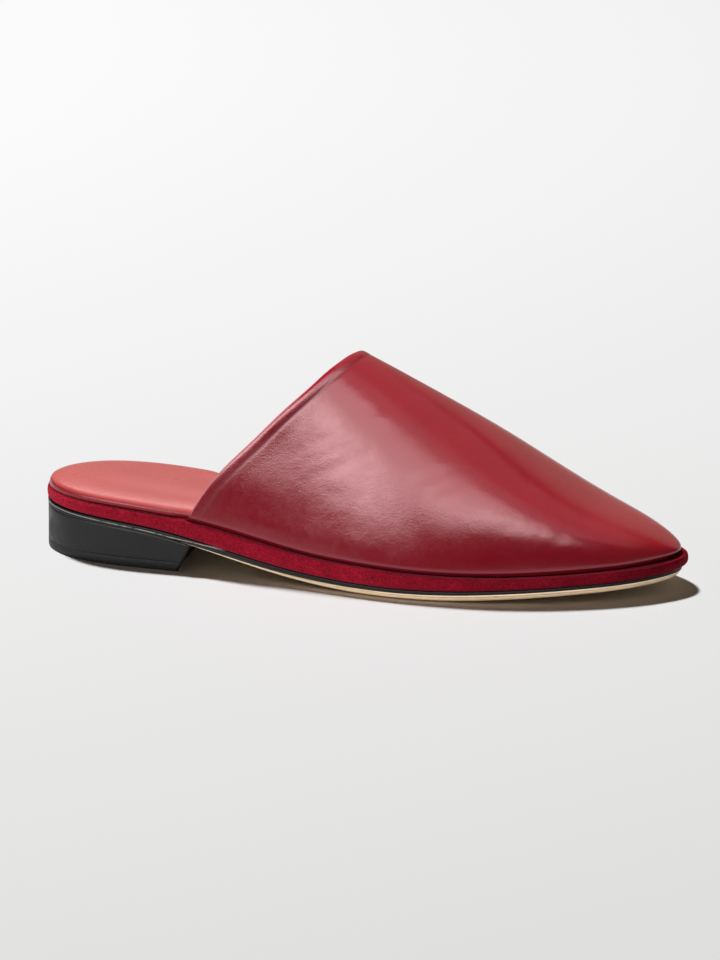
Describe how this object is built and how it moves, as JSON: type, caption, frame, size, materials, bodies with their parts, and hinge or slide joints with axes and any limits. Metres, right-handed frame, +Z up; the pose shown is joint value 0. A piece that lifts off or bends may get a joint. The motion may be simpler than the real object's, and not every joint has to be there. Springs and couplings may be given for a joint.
{
  "type": "mule",
  "caption": "Flat slip-on mule with a closed almond toe, a high vamp cut on the diagonal with a rolled topline, a padded sock, a suede-covered midsole edge and a low block heel.",
  "frame": {"origin": "on the floor under the middle of the shoe's bounding box", "axes": "+X from heel to toe, +Y towards the inner side of the foot, +Z up; the shoe stands on the heel and the ball at z = 0"},
  "size_m": [0.2686, 0.085, 0.0898],
  "materials": {
    "sole_leather": "natural sole leather with a black painted upright edge",
    "heel_black": "stacked leather heel, painted black, satin",
    "lift_rubber": "matt black rubber",
    "rand_suede": "crimson suede, napped and matt",
    "sock_leather": "smooth padded leather, soft sheen",
    "upper_leather": "smooth fine-grained leather, satin"
  },
  "bodies": {
    "root": {"outsole": "sole_leather", "heel_block": "heel_black", "heel_top_lift": "lift_rubber", "midsole": "rand_suede", "insole": "sock_leather", "upper": "upper_leather"}
  },
  "joints": []
}
